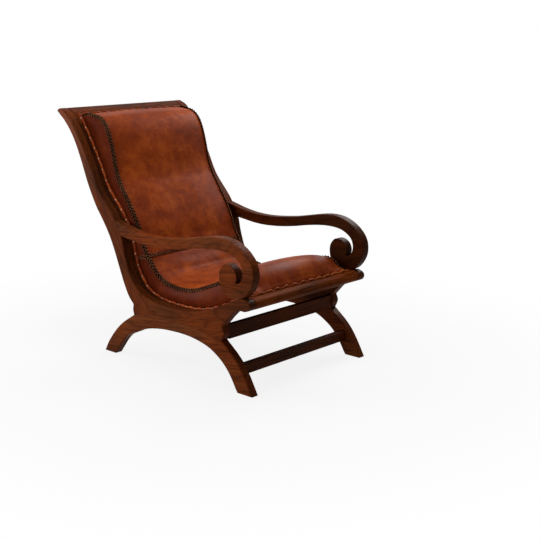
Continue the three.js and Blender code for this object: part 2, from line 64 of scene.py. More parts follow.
class Recipe:
    """The nodes of one material, or of the world."""

    def __init__(self, owner):
        owner.use_nodes = True
        self.owner = owner
        self.tree = owner.node_tree

    def node(self, kind, settings, sockets, output=0):
        """A node by its type, its settings, its sockets' values or links, and the output to go on with."""
        made = self.tree.nodes.new(f"ShaderNode{kind}")
        for key, value in settings.items():
            if key == "stops":
                self.set_stops(made.color_ramp, value)
            elif key == "easing":
                made.color_ramp.interpolation = value
            else:
                setattr(made, key, value)
        for key, value in sockets.items():
            self.plug(made.inputs[key], value)
        return Wire(self, made.outputs[output])

    def plug(self, socket, value):
        if isinstance(value, Wire):
            self.tree.links.new(value.socket, socket)
        else:
            socket.default_value = (*value, 1) if socket.type == "RGBA" else value

    @staticmethod
    def set_stops(band, stops):
        band.elements.remove(band.elements[-1])
        band.elements[0].position = stops[0][0]
        for position, _ in stops[1:]:
            band.elements.new(position)
        for element, (_, value) in zip(band.elements, stops):
            element.color = (*value, 1) if isinstance(value, tuple) else (value, value, value, 1)

    def coordinates(self):
        return self.node("TexCoord", {}, {}, "Object")

    def mapped(self, vector, location=(0, 0, 0), rotation=(0, 0, 0), scale=(1, 1, 1)):
        sockets = {"Vector": vector, "Location": location, "Rotation": rotation, "Scale": scale}
        return self.node("Mapping", {}, sockets)

    def noise(self, vector, scale, detail=4.0, roughness=0.5, distortion=0.0):
        sockets = {"Vector": vector, "Scale": scale, "Detail": detail, "Roughness": roughness,
                   "Distortion": distortion}
        return self.node("TexNoise", {}, sockets, "Fac")

    def drawn_out(self, vector, stretch, **noise):
        """Noise drawn out along the y axis, as fibres are along the grain."""
        return self.noise(self.mapped(vector, scale=(1, stretch, 1)), **noise)

    def ramp(self, value, stops, easing="LINEAR"):
        return self.node("ValToRGB", {"stops": stops, "easing": easing}, {"Fac": value})

    def mixed(self, factor, a, b, blend="MIX"):
        return self.node("Mix", {"data_type": "RGBA", "blend_type": blend}, {0: factor, 6: a, 7: b}, 2)

    def bump(self, height, distance, strength, **normal):
        sockets = {"Height": height, "Distance": distance, "Strength": strength, **normal}
        return self.node("Bump", {}, sockets, "Normal")

    def surface(self, sockets):
        """Sets or joins the sockets of the principled shader and gives the finished material."""
        for key, value in sockets.items():
            self.plug(self.tree.nodes["Principled BSDF"].inputs[key], value)
        return self.owner


# Bands of colour or brightness: each stop is its place in the pattern and what stands there
HARDWOOD = [
    (0.30, (0.040, 0.0078, 0.0016)), (0.44, (0.082, 0.0170, 0.0034)),
    (0.56, (0.112, 0.0250, 0.0052)), (0.74, (0.165, 0.0420, 0.0095)),
]
RING_LINES = [(0.0, 0.58), (0.05, 0.84), (0.16, 1.0), (0.6, 1.06), (0.9, 0.86), (1.0, 0.58)]
RINGS_PER_SWELL = 13
STREAKS = [(0.32, 0.62), (0.45, 1.0)]
OPEN_PORES = [(0.36, 0.66), (0.44, 1.0)]
FLECKS = [(0.36, (0.76, 0.90, 1.2)), (0.5, (0.99, 0.99, 0.99)), (0.64, (1.30, 1.16, 0.88))]
WAXED_ROUGHNESS = [(0.3, 0.48), (0.7, 0.36)]
WAXED_GLOSS = 0.022


def grain_turn(along):
    """Turn that lays a pattern's y axis along the grain."""
    along = Vector(along).normalized()
    side = along.orthogonal().normalized() if abs(along.x) > 0.9 else Vector((1, 0, 0))
    return Matrix((side, along, side.cross(along))).to_euler()


def toned(stops, tone):
    """The stops of a colour band, made lighter or darker."""
    return [(stop, tuple(tone * channel for channel in colour)) for stop, colour in stops]


def hardwood(name, along, offset, tone=1.0, gloss=WAXED_GLOSS):
    """Oiled hardwood: growth rings as thin dark contours, soft orange patches, fine fibres and open pores."""
    wood = Recipe(bpy.data.materials.new(name))
    log = wood.mapped(wood.coordinates(), offset, grain_turn(along))
    figure = wood.drawn_out(log, 0.22, scale=9, detail=1.6, roughness=0.4, distortion=0.4)
    ring = wood.node("Math", {"operation": "FRACT"}, {0: figure * RINGS_PER_SWELL})
    contour = wood.ramp(ring, RING_LINES)
    streaks = wood.ramp(wood.drawn_out(log, 0.03, scale=120, detail=3, roughness=0.55), STREAKS)
    pores = wood.ramp(wood.drawn_out(log, 0.03, scale=1500, detail=2), OPEN_PORES)
    fibres = wood.drawn_out(log, 0.018, scale=330, detail=5, roughness=0.62)
    patches = wood.drawn_out(log, 0.35, scale=10)
    body = wood.ramp(fibres * 0.55 + patches * 0.45, toned(HARDWOOD, tone))
    elsewhere = wood.mapped(log, location=(3, 1, 2), scale=(1, 0.45, 1))
    hue = wood.ramp(wood.noise(elsewhere, scale=7, detail=3), FLECKS)
    marks = pores * (contour * streaks)
    tinted = wood.mixed(1.0, wood.mixed(1.0, body, hue, "MULTIPLY"), marks, "MULTIPLY")
    return wood.surface({
        "Base Color": tinted, "Roughness": wood.ramp(fibres, WAXED_ROUGHNESS),
        "Normal": wood.bump(marks * 0.5 + fibres * 0.5, distance=0.0005, strength=0.3),
        "Specular IOR Level": gloss,
    })


def mesh_of(name, bm):
    """Mesh from a finished bmesh, shaded smooth."""
    mesh = bpy.data.meshes.new(name)
    bm.to_mesh(mesh)
    bm.free()
    mesh.polygons.foreach_set("use_smooth", [True] * len(mesh.polygons))
    return mesh


def piece(name, mesh, finishes, slot, *replaced):
    """Object of the chair in its finishes, standing for the nodes that it replaces."""
    obj = bpy.data.objects.new(name, mesh)
    scene.collection.objects.link(obj)
    for finish in finishes:
        mesh.materials.append(finish)
    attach(obj, "root")
    if replaced:
        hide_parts(*replaced)
    return obj


def bake_modifiers(obj):
    """Gives the piece the mesh that its modifiers make of it."""
    graph = bpy.context.evaluated_depsgraph_get()
    mesh = bpy.data.meshes.new_from_object(obj.evaluated_get(graph), depsgraph=graph)
    obj.modifiers.clear()
    old = obj.data
    obj.data = mesh
    bpy.data.meshes.remove(old)


ARRIS = 0.0009
MERGE_DISTANCE = 2e-5
FLAT_ANGLE = math.radians(0.4)
ARRIS_ANGLE = math.radians(34)
SHARP_ANGLE = math.radians(38)
FLAT_FACE_WEIGHT = 80


def eased_board(name, source, finish):
    """Smooth copy of a wooden node: flat faces merged, arrises eased, sawn curves shaded as curves."""
    bm = bmesh.new()
    bm.from_mesh(nodes[source].data)
    bmesh.ops.remove_doubles(bm, verts=bm.verts, dist=MERGE_DISTANCE)
    bmesh.ops.dissolve_limit(bm, angle_limit=FLAT_ANGLE, verts=bm.verts, edges=bm.edges)
    bmesh.ops.recalc_face_normals(bm, faces=bm.faces)
    board = piece(name, mesh_of(name, bm), [finish], "frame_wood", source)
    bevel = board.modifiers.new("Arris", "BEVEL")
    bevel.width = ARRIS
    bevel.segments = 2
    bevel.limit_method = "ANGLE"
    bevel.angle_limit = ARRIS_ANGLE
    bake_modifiers(board)
    board.data.polygons.foreach_set("use_smooth", [True] * len(board.data.polygons))
    board.data.set_sharp_from_angle(angle=SHARP_ANGLE)
    weighted = board.modifiers.new("Flat faces", "WEIGHTED_NORMAL")
    weighted.keep_sharp = True
    weighted.weight = FLAT_FACE_WEIGHT


SIDES = ((-1, "right"), (1, "left"))
for side, word in SIDES:
    arch = hardwood(f"wood_arch_{word}", (0, 1, -0.12), (0.3, 0.9 * side, 0.2), tone=1.16)
    eased_board(f"arch_board_{word}", f"leg_arch_{word}", arch)
    rail = hardwood(f"wood_rail_{word}", (0, 1, -0.15), (-0.3, 0.1 * side, 0.7), tone=0.95)
    eased_board(f"rail_board_{word}", f"seat_rail_{word}", rail)
    stile = hardwood(f"wood_stile_{word}", (0, 0.55, 0.83), (0.6, 0.3 * side, 1.3), tone=0.95)
    eased_board(f"stile_board_{word}", f"back_stile_{word}", stile)


# Scroll arms
# Each arm is sawn from one thick board of the same wood and curls down to an eye in front.
# It is butted and dowelled to the stile behind, and its scroll stands on the seat rail's nose.

# How light the wood of each arm is; the left arm's wood is painted darker as shade
ARM_TONES_WITH_PAINTED_SHADE = {"right": 1.1, "left": 0.62}

for side, word in SIDES:
    arm = hardwood(f"wood_arm_{word}", (0, 1, -0.1), (-0.9, 0.2 * side, 1.7), ARM_TONES_WITH_PAINTED_SHADE[word])
    eased_board(f"scroll_arm_{word}", f"arm_{word}", arm)


# Crest rail, front rail and stretchers
# Hardwood boards between the side frames, tenoned at both ends: a flat crest at the stiles' tips,
# a rail with a round front under the cushion's edge, and two straight stretchers between the front legs.

ACROSS = (1, 0, 0)
ROUND_FRONT_GLOSS = 0.008

crest = hardwood("wood_crest", ACROSS, (0.1, 0.4, 0.9), tone=0.85)
eased_board("crest_board", "crest_rail", crest)
front = hardwood("wood_front", ACROSS, (0.3, 0.1, 0.4), tone=1.55, gloss=ROUND_FRONT_GLOSS)
eased_board("front_board", "front_rail", front)
upper = hardwood("wood_upper", ACROSS, (0.2, 0.7, 0.1), tone=0.8)
eased_board("upper_stretcher_bar", "upper_stretcher", upper)
lower = hardwood("wood_lower", ACROSS, (0.5, 0.2, 0.3), tone=0.8)
eased_board("lower_stretcher_bar", "lower_stretcher", lower)


# Rear rail, decks, battens and dowels
# What carries the padding: a polished rail across the back, thin straight-grained deck panels, dark stained,
# on battens whose edges show beside the welts, painted dark as the shade there, and bare dowels inside the
# joints.

DRY_WOOD = [(0.3, (0.160, 0.060, 0.022)), (0.7, (0.360, 0.152, 0.060))]
DRY_ROUGHNESS = [(0.3, 0.78), (0.7, 0.62)]


def dry_wood(name, tone):
    """Unpolished straight-grained wood with its grain across the chair."""
    wood = Recipe(bpy.data.materials.new(name))
    panel = wood.mapped(wood.coordinates(), rotation=grain_turn(ACROSS))
    fibres = wood.drawn_out(panel, 0.02, scale=260, detail=5, roughness=0.6)
    patches = wood.drawn_out(panel, 0.2, scale=9, detail=3)
    return wood.surface({
        "Base Color": wood.ramp(fibres * 0.7 + patches * 0.3, toned(DRY_WOOD, tone)),
        "Roughness": wood.ramp(fibres, DRY_ROUGHNESS),
        "Normal": wood.bump(fibres, distance=0.0004, strength=0.4), "Specular IOR Level": 0.0,
    })


bare_wood = dry_wood("wood_bare", tone=0.9)
stained_panel = dry_wood("wood_deck", tone=0.34)
# The battens are painted dark, as the shade in the gap beside the welts
back_batten = hardwood("wood_batten_back_painted_shade", (0, 0.62, 0.79), (0.2, 0.5, 0.9), tone=0.5)
seat_batten = hardwood("wood_batten_seat_painted_shade", (0, 1, 0), (0.4, 0.8, 0.1), tone=0.5)
inner_finishes = {
    "rear_rail": hardwood("wood_rear_rail", ACROSS, (0.7, 0.3, 0.5), tone=0.8),
    "back_deck": stained_panel, "seat_deck": stained_panel,
    "back_batten_right": back_batten, "back_batten_left": back_batten,
    "seat_batten_right": seat_batten, "seat_batten_left": seat_batten,
    **{name: bare_wood for name in nodes if "dowel" in name},
}
for name, finish in inner_finishes.items():
    nodes[name].data.materials.clear()
    nodes[name].data.materials.append(finish)


# Cushions
# Two boxed cushions of foam in waxed cognac leather, tacked down on the side frames' ledge: the back has
# a rolled head, the seat a high front edge. Gussets, their hide painted darker than the top as shade, lean in
# from the ledge to the laced edge.

DEPTH = 1.102
HEIGHT = 0.972
PAD_SIDE = 0.264
GUSSET_INSET = 0.0155
FULL_INSET_HEIGHT = 0.03
GUSSET_BULGE = 0.0055
FULL_BULGE_HEIGHT = 0.06
CUSHION_CORNER = 0.007
CORNER_SHARE_AT_MOST = 0.4
CUSHION_CROWN = 0.033
SLACK_CROWN = 0.9
CROWN_POWER = 3.5
CUSHION_GAP = 0.0008
CREASE_HALF_GAP = 0.0005
WELT_HEIGHT = 0.006
WELT_LIFT = 0.0003

# Seat line on the side frames, from the crest tip to the nose: shares of the depth and the height
SEAT_LINE = [
    (0.98, 1), (0.944, 0.983), (0.907, 0.94), (0.868, 0.877), (0.819, 0.784), (0.773, 0.686),
    (0.691, 0.58), (0.65, 0.502), (0.636, 0.437), (0.612, 0.363), (0.566, 0.299), (0.497, 0.27),
    (0.388, 0.26), (0.289, 0.267), (0.207, 0.293), (0.116, 0.341), (0.071, 0.362), (0.042, 0.367),
]

# Cushion rows from the head to the front: the share of the seat line where a row stands, the shares of the
# depth and the height that its upper edge has, and its share of the full crown
CUSHION_ROWS = [
    (0.0455, 0.9237, 0.9741, 0.05), (0.0507, 0.8955, 0.9761, 0.09), (0.07, 0.8652, 0.9721, 0.12),
    (0.092, 0.8289, 0.964, 0.24), (0.116, 0.8014, 0.9396, 0.36), (0.142, 0.7832, 0.9042, 0.42),
    (0.171, 0.7701, 0.8629, 0.45), (0.203, 0.758, 0.8117, 0.45), (0.236, 0.747, 0.7576, 0.42),
    (0.27, 0.729, 0.7076, 0.39), (0.309, 0.705, 0.6676, 0.36), (0.35, 0.6729, 0.6135, 0.33),
    (0.388, 0.6471, 0.568, 0.3), (0.422, 0.624, 0.5182, 0.3), (0.456, 0.6069, 0.4667, 0.24),
    (0.491, 0.5839, 0.424, 0.22), (0.517, 0.566, 0.3972, 0.24), (0.543, 0.5464, 0.3722, 0.39),
    (0.571, 0.5231, 0.3484, 0.39), (0.599, 0.4946, 0.3328, 0.49), (0.628, 0.4622, 0.3248, 0.57),
    (0.658, 0.424, 0.3201, 0.63), (0.688, 0.378, 0.3221, 0.71), (0.722, 0.3331, 0.3321, 0.79),
    (0.757, 0.289, 0.3501, 0.85), (0.791, 0.247, 0.3702, 0.91), (0.828, 0.2038, 0.3922, 0.95),
    (0.864, 0.1645, 0.4063, 0.98), (0.897, 0.1281, 0.4134, 0.98), (0.928, 0.1025, 0.4022, 0.91),
    (0.955, 0.0843, 0.386, 0.71), (0.975, 0.0728, 0.3776, 0.55), (0.983, 0.0636, 0.3747, 0.32),
    (0.989, 0.0567, 0.3719, 0.04),
]
LAST_ROW = len(CUSHION_ROWS) - 1

# Rows at the crease between back and seat, at the front tacks, and where the leather folds in below them;
# below the last, the leather is painted near-black as the shade behind the front welt
CREASE_ROW = 15
TACKED_ROW = 31
FOLD_ROW = 32.4

ROW_SAMPLES = 24
LINE_SAMPLES = 60
NAIL_PITCH = 0.047


def fair_curve(points, samples):
    """Dense points on a smooth curve through the points, with one cubic from each point to the next."""
    points = np.asarray(points, float)
    points = np.vstack([2 * points[0] - points[1], points, 2 * points[-1] - points[-2]])
    share = np.linspace(0, 1, samples, endpoint=False)[:, None]
    curve = []
    for number in range(len(points) - 3):
        before, start, end, after = points[number:number + 4]
        gap_before, gap, gap_after = (
            np.linalg.norm(b - a) ** 0.5 for a, b in ((before, start), (start, end), (end, after)))
        leaving = ((start - before) / gap_before - (end - before) / (gap_before + gap)
                   + (end - start) / gap) * gap
        arriving = ((end - start) / gap - (after - start) / (gap + gap_after)
                    + (after - end) / gap_after) * gap
        curve.append((2 * share**3 - 3 * share**2 + 1) * start + (share**3 - 2 * share**2 + share) * leaving
                     + (3 * share**2 - 2 * share**3) * end + (share**3 - share**2) * arriving)
    curve.append(points[-2][None, :])
    return np.vstack(curve)


def run_along(points):
    """Distance of each point from the first, along the line."""
    return np.concatenate([[0], np.cumsum(np.linalg.norm(np.diff(points, axis=0), axis=1))])


seat_points = fair_curve(
    [(depth * DEPTH - DEPTH / 2, height * HEIGHT) for depth, height in SEAT_LINE], LINE_SAMPLES)
seat_run = run_along(seat_points)
SEAT_LENGTH = seat_run[-1]
LOOK_AHEAD = 0.002


def on_seat_line(share, lift):
    """Point (y, z) above the seat line, the line's direction, and the normal towards the sitter."""
    at = share * SEAT_LENGTH
    here, ahead, behind = (
        np.array([np.interp(run, seat_run, seat_points[:, k]) for k in (0, 1)])
        for run in (at, min(at + LOOK_AHEAD, SEAT_LENGTH), max(at - LOOK_AHEAD, 0)))
    along = (ahead - behind) / np.linalg.norm(ahead - behind)
    normal = np.array([along[1], -along[0]])
    return here + normal * lift, along, normal


edge_points = fair_curve(
    [(depth * DEPTH - DEPTH / 2, height * HEIGHT, crown * CUSHION_CROWN)
     for _, depth, height, crown in CUSHION_ROWS], ROW_SAMPLES)
ROW_AHEAD = 0.02


def station(row):
    """The cushions' cross section at a row, or at a place between two rows."""
    low = min(int(row), LAST_ROW - 1)
    share = np.interp(row, [low, low + 1], [CUSHION_ROWS[low][0], CUSHION_ROWS[low + 1][0]])
    index = np.arange(len(edge_points)) / ROW_SAMPLES
    edge, before, ahead = (
        np.array([np.interp(place, index, edge_points[:, k]) for k in range(3)])
        for place in (row, max(row - ROW_AHEAD, 0), min(row + ROW_AHEAD, LAST_ROW)))
    along = (ahead - before)[:2]
    along /= np.linalg.norm(along)
    base = on_seat_line(share, CUSHION_GAP)[0]
    up = edge[:2] - base
    height = np.linalg.norm(up)
    return {
        "base": base, "corner": edge[:2], "up": up / height, "height": height, "crown": edge[2],
        "along": along, "outward": np.array([along[1], -along[0]]),
        "corner_x": PAD_SIDE - GUSSET_INSET * min(height / FULL_INSET_HEIGHT, 1),
        "round": min(CUSHION_CORNER, height * CORNER_SHARE_AT_MOST),
    }


def swelling(run):
    """1 halfway between two nails, 0 at a nail."""
    return 0.5 - 0.5 * np.cos(2 * math.pi * run / NAIL_PITCH)


SIDE_STEPS = 14
TOP_STEPS = 84
BASE_STEPS = 40
PROFILE_SAMPLES = 12
CORNER_MIDDLE = 0.7

# How a gusset bulges: share of its height, and share of the full bulge there
BULGE_KNOTS = ((0, 0), (0.3, 1), (0.7, 0.8))


def side_profile(at):
    """(x, height) points up the +x side of a cushion, to the middle of its rounded upper corner."""
    size = at["round"]
    bulge = GUSSET_BULGE * min(at["height"] / FULL_BULGE_HEIGHT, 1) ** 2
    top = at["height"] - size
    straight = min(WELT_LIFT + WELT_HEIGHT, top / 2)
    knots = [(PAD_SIDE, 0.0)]
    for height_share, bulge_share in BULGE_KNOTS:
        x = PAD_SIDE + (at["corner_x"] + size - PAD_SIDE) * height_share + bulge * bulge_share
        knots.append((x, straight + (top - straight) * height_share))
    knots.append((at["corner_x"] + size, top))
    dense = fair_curve(knots, PROFILE_SAMPLES)
    run = run_along(dense)
    even = np.linspace(0, run[-1], SIDE_STEPS)
    side_points = np.stack([np.interp(even, run, dense[:, k]) for k in (0, 1)], 1)
    return np.vstack([side_points, [(at["corner_x"] + size * CORNER_MIDDLE, top + size * CORNER_MIDDLE)]])


def cushion_ring(at, gather):
    """Points round a cushion: up one side, over the crown, down the other side and back underneath."""
    def in_space(x, height):
        return (x, *(at["base"] + at["up"] * height))

    profile = side_profile(at)
    top = []
    for step in range(TOP_STEPS + 1):
        x = at["corner_x"] * (1 - 2 * step / TOP_STEPS)
        rise = SLACK_CROWN * at["crown"] * (1 - abs(x / at["corner_x"]) ** CROWN_POWER)
        tuck = gather * (1 - swelling(x + NAIL_PITCH / 2)) ** 2
        top.append((x, *(at["corner"] + at["outward"] * (rise - tuck))))
    under = [in_space(-PAD_SIDE + 2 * PAD_SIDE * step / BASE_STEPS, 0) for step in range(1, BASE_STEPS)]
    near = [in_space(x, height) for x, height in profile]
    far = [in_space(-x, height) for x, height in profile[::-1]]
    return near + top + far + under


def lofted(name, rings, paint=None, cap=0):
    """Closed skin through rings of points: a grid bent into a tube, its seam welded, its ends filled."""
    rings = np.asarray(rings)
    turns, count = rings.shape[:2]
    bm = bmesh.new()
    bmesh.ops.create_grid(bm, x_segments=count, y_segments=turns - 1, size=1)
    bm.verts.ensure_lookup_table()
    for number, vertex in enumerate(bm.verts):
        turn, step = divmod(number, count + 1)
        vertex.co = rings[turn, step % count]
    if paint is not None:
        for face, finish in zip(bm.faces, np.asarray(paint).ravel()):
            face.material_index = int(finish)
    starts = range(0, turns * (count + 1), count + 1)
    bmesh.ops.weld_verts(bm, targetmap={bm.verts[start + count]: bm.verts[start] for start in starts})
    ends = bmesh.ops.holes_fill(bm, edges=bm.edges, sides=0)["faces"]
    for end in ends:
        end.material_index = cap
    bmesh.ops.triangulate(bm, faces=[end for end in ends if len(end.verts) > 4])
    bmesh.ops.recalc_face_normals(bm, faces=bm.faces)
    return mesh_of(name, bm)


CLOUD_SHARE = 0.75
BLOT_SHARE = 0.5
FINE_SHARE = 0.26
SCRATCHES = [(0.64, 0.0), (0.78, 0.3)]


def waxed_hide(name, dark, mid, light, patch=1.0, shift=(0, 0, 0), gloss=0.05):
    """Waxed leather: cloudy dye, fine pebbled grain and few pale scratches."""
    hide = Recipe(bpy.data.materials.new(name))
    place = hide.mapped(hide.coordinates(), shift)
    clouds = hide.noise(place, scale=6.5, detail=6, roughness=0.6, distortion=0.5)
    blots = hide.noise(place, scale=24, detail=6, roughness=0.66, distortion=0.6)
    fine = hide.noise(place, scale=110, detail=4, roughness=0.65)
    middle = 0.5 - (CLOUD_SHARE + BLOT_SHARE) * patch / 2 - FINE_SHARE / 2
    shade = clouds * (CLOUD_SHARE * patch) + blots * (BLOT_SHARE * patch) + fine * FINE_SHARE + middle
    body = hide.ramp(shade, [(0.34, dark), (0.5, mid), (0.66, light)])
    drawn = hide.mapped(place, rotation=(0.4, 0.3, 0.5), scale=(1, 0.12, 0.3))
    scratches = hide.ramp(hide.noise(drawn, scale=120, detail=3, roughness=0.7), SCRATCHES)
    pebbles = hide.node("TexVoronoi", {"feature": "SMOOTH_F1"},
                        {"Vector": place, "Scale": 520, "Randomness": 1}, "Distance")
    creases = hide.noise(place, scale=240, detail=4, roughness=0.6, distortion=1.2)
    hollows = hide.noise(place, scale=16, detail=3, roughness=0.5, distortion=0.4)
    slack = hide.bump(hollows, distance=0.004, strength=0.35)
    return hide.surface({
        "Base Color": hide.mixed(scratches, body, light),
        "Roughness": blots * 0.34 + creases * 0.14 + 0.22,
        "Normal": hide.bump(creases * 0.6 + pebbles * 0.5, distance=0.0006, strength=0.4, Normal=slack),
        "Specular IOR Level": gloss,
    })


cognac_hide = waxed_hide("hide_cognac", (0.132, 0.0198, 0.0042), (0.218, 0.0345, 0.0064),
                         (0.340, 0.0640, 0.0098), gloss=0.035)
# The gussets' hide is painted darker than the top panel, as shade on the cushions' sides
gusset_shaded_hide = waxed_hide("hide_gusset", (0.060, 0.0080, 0.0022), (0.086, 0.0120, 0.0032),
                         (0.125, 0.0200, 0.0050), patch=0.8, shift=(1, 4, 2), gloss=0.02)
# Near-black hide for the leather under the front tacks: painted shade behind the front welt
fold_shade_hide = waxed_hide("hide_fold", (0.010, 0.0022, 0.0010), (0.020, 0.0040, 0.0018),
                       (0.036, 0.0070, 0.0030), gloss=0.0)

CLOTH_SETTINGS = {
    "quality": 6, "mass": 0.25, "tension_stiffness": 18, "compression_stiffness": 8, "shear_stiffness": 8,
    "bending_stiffness": 1.2, "use_pressure": True, "uniform_pressure_force": 4.0,
    "vertex_group_mass": "seams", "pin_stiffness": 1.0,
}
CLOTH_FRAMES = 20
MOST_SWELL = 0.006
FOLD_SMOOTHINGS = 8


def swell(obj, pinned, ring_size):
    """Inflates the cushion as cloth between its pinned seams, evens its folds and caps how far points go."""
    before = np.array([v.co for v in obj.data.vertices])
    obj.vertex_groups.new(name="seams").add(pinned, 1.0, "REPLACE")
    cloth = obj.modifiers.new("Cloth", "CLOTH")
    for key, value in CLOTH_SETTINGS.items():
        setattr(cloth.settings, key, value)
    cloth.settings.effector_weights.gravity = 0
    cloth.point_cache.frame_start = 1
    cloth.point_cache.frame_end = CLOTH_FRAMES
    for number in range(1, CLOTH_FRAMES + 1):
        scene.frame_set(number)
    swollen = obj.evaluated_get(bpy.context.evaluated_depsgraph_get())
    after = np.array([v.co for v in swollen.to_mesh().vertices])
    swollen.to_mesh_clear()
    obj.modifiers.remove(cloth)
    scene.frame_set(1)
    shift = (after - before).reshape(-1, ring_size, 3)
    for _ in range(FOLD_SMOOTHINGS):
        shift[1:-1] = (shift[:-2] + 2 * shift[1:-1] + shift[2:]) / 4
    shift = shift.reshape(-1, 3)
    size = np.linalg.norm(shift, axis=1, keepdims=True)
    shift *= MOST_SWELL / np.maximum(size, MOST_SWELL)
    obj.data.vertices.foreach_set("co", (before + shift).ravel())
    obj.data.update()


# Rings stand evenly by distance, and a little closer where the rows themselves stand close
RING_SPACING = 0.007
FINE_ROWS = 400
RUN_PER_FINE_ROW = 1e-4

GATHER = 0.0022
GATHER_ROWS = 2.2

# Points at the foot of a gusset that stay held while the cushion swells
HELD_STEPS = 3

# Places of the hides in a cushion's list of finishes
TOP, GUSSET, FOLD = range(3)


def cushion(name, source, from_row, to_row, end_offsets):
    """A boxed cushion: crowned top panel, leaning gussets, seams pulled in, gathers at the front tacks."""
    fine_rows = np.linspace(from_row, to_row, FINE_ROWS)
    run = run_along([station(row)["corner"] for row in fine_rows])
    turns = int(run[-1] / RING_SPACING)
    run += np.arange(FINE_ROWS) * RUN_PER_FINE_ROW
    rows = np.interp(np.linspace(0, run[-1], turns), run, fine_rows)
    stations = [station(row) for row in rows]
    for at, offset in zip((stations[0], stations[-1]), end_offsets):
        at["corner"] = at["corner"] + at["along"] * offset
        at["base"] = at["base"] + at["along"] * offset
    rings = [cushion_ring(at, GATHER * max(0.0, 1 - abs(row - TACKED_ROW) / GATHER_ROWS))
             for at, row in zip(stations, rows)]
    ring_size = len(rings[0])
    step = np.arange(ring_size)
    far_corner = SIDE_STEPS + TOP_STEPS + 2
    in_gusset = (step < SIDE_STEPS) | ((step >= far_corner) & (step < ring_size - BASE_STEPS))
    # Faces below the fold row take the painted shade
    paint = np.where((rows[:-1] > FOLD_ROW)[:, None], FOLD, np.where(in_gusset, GUSSET, TOP)[None, :])
    pad = piece(name, lofted(name, rings, paint), [cognac_hide, gusset_shaded_hide, fold_shade_hide], "leather", source)
    at_corner = np.minimum(abs(step - SIDE_STEPS), abs(step - far_corner)) <= 1
    held = (step > ring_size - BASE_STEPS) | (step < HELD_STEPS) | at_corner
    pinned = np.tile(held, (turns, 1))
    pinned[[0, -1]] = True
    swell(pad, np.flatnonzero(pinned).tolist(), ring_size)
    smooth = pad.modifiers.new("Smooth", "SUBSURF")
    smooth.levels = smooth.render_levels = 1
    bake_modifiers(pad)


cushion("back_pad", "back_cushion", 0, CREASE_ROW, (0.0, -CREASE_HALF_GAP))
cushion("seat_pad", "seat_cushion", CREASE_ROW, LAST_ROW, (CREASE_HALF_GAP, 0.0))


# Plaited lacing
# Flat plaits of three dark leather laces, sewn over a strip on the cushions' edges, across the crease between
# back and seat, and down the gussets there.

lace_hide = waxed_hide("hide_lacing", (0.070, 0.0250, 0.0110), (0.140, 0.0530, 0.0240),
                       (0.230, 0.0980, 0.0480), shift=(5, 2, 1), gloss=0.03)
# Near-black hide painted on the laces and strips as the shade between and under the laces
shaded_hide = waxed_hide("hide_lacing_ground", (0.0025, 0.0010, 0.0005), (0.0050, 0.0020, 0.0010),
                         (0.0085, 0.0032, 0.0015), gloss=0.0)

PLAIT_HALF_WIDTH = 0.0086
PLAIT_PITCH = 0.042
STEPS_PER_PITCH = 20
FEWEST_STEPS = 8
LACE_HALF_WIDTH = 0.0015
CROSS_LACE_HALF_WIDTH = 0.0014
LACE_THICKNESS = 0.0018
LACE_SIDES = 8
STRIP_THICKNESS = 0.0011
STRIP_FINISH = 2

# The middle height of a lace over the strip, and how far it rises and falls, in thicknesses of a lace
LACE_HEIGHT = 1.5
LACE_WAVE = 0.95

# How far a lace keeps inside the plait's edge, in half widths, and how high in its wave it is still painted
# dark as shade
INSIDE_EDGE = 0.7
UNDER_ANOTHER = 0.25

# Section of the strip: shares of the plait's half width and of the strip's thickness
STRIP_SECTION = [(-0.96, 0.0), (-0.9, 0.9), (-0.45, 1.2), (0.45, 1.2), (0.9, 0.9), (0.96, 0.0)]


def unit(vectors):
    """The same vectors, each with length 1."""
    return vectors / np.linalg.norm(vectors, axis=1, keepdims=True)


def take_in(bm, mesh):
    """Adds a finished mesh to the bmesh and removes it."""
    bm.from_mesh(mesh)
    bpy.data.meshes.remove(mesh)


def plait(name, source, points, normals, strip, half_width=LACE_HALF_WIDTH, taper=None):
    """Three laces on their strip that swing from edge to edge, painted near-black as shade where they pass
    under another.
    """
    points, normals = np.asarray(points), np.asarray(normals)
    whole = run_along(points)
    steps = max(int(whole[-1] / (PLAIT_PITCH / STEPS_PER_PITCH)), FEWEST_STEPS)
    run = np.linspace(0, whole[-1], steps)
    centre, normal = (np.stack([np.interp(run, whole, array[:, k]) for k in range(3)], 1)
                      for array in (points, normals))
    normal = unit(normal)
    lateral = unit(np.cross(normal, unit(np.gradient(centre, axis=0))))
    scale = np.ones(steps) if taper is None else np.interp(run, *taper)
    angles = np.linspace(0, 2 * math.pi, LACE_SIDES, endpoint=False)
    bm = bmesh.new()
    for strand in range(3):
        phase = 2 * math.pi * (run / PLAIT_PITCH + strand / 3)
        swing = np.sin(phase) * (PLAIT_HALF_WIDTH - half_width * INSIDE_EDGE) * scale
        rise = (np.sin(2 * phase) * LACE_WAVE + LACE_HEIGHT) * LACE_THICKNESS * scale
        path = centre + lateral * swing[:, None] + normal * rise[:, None]
        forward = unit(np.gradient(path, axis=0))
        across = unit(np.cross(normal, forward))
        out = np.cross(forward, across)
        around = (across[:, None, :] * (np.cos(angles) * half_width)[None, :, None]
                  + out[:, None, :] * (np.sin(angles) * LACE_THICKNESS)[None, :, None])
        # Where a lace runs under another it takes the painted shade
        below = np.sin(2 * phase) < UNDER_ANOTHER
        dark = np.repeat(below[:-1] & below[1:], LACE_SIDES)
        take_in(bm, lofted("lace", path[:, None, :] + around * scale[:, None, None], dark))
    strip_rings = np.stack([
        centre + (lateral * PLAIT_HALF_WIDTH * aside + normal * STRIP_THICKNESS * up) * scale[:, None]
        for aside, up in STRIP_SECTION], 1)
    strip_faces = np.full((steps - 1, len(STRIP_SECTION)), STRIP_FINISH)
    take_in(bm, lofted("strip", strip_rings, strip_faces, STRIP_FINISH))
    piece(name, mesh_of(name, bm), [lace_hide, shaded_hide, strip], "lacing_leather", source)


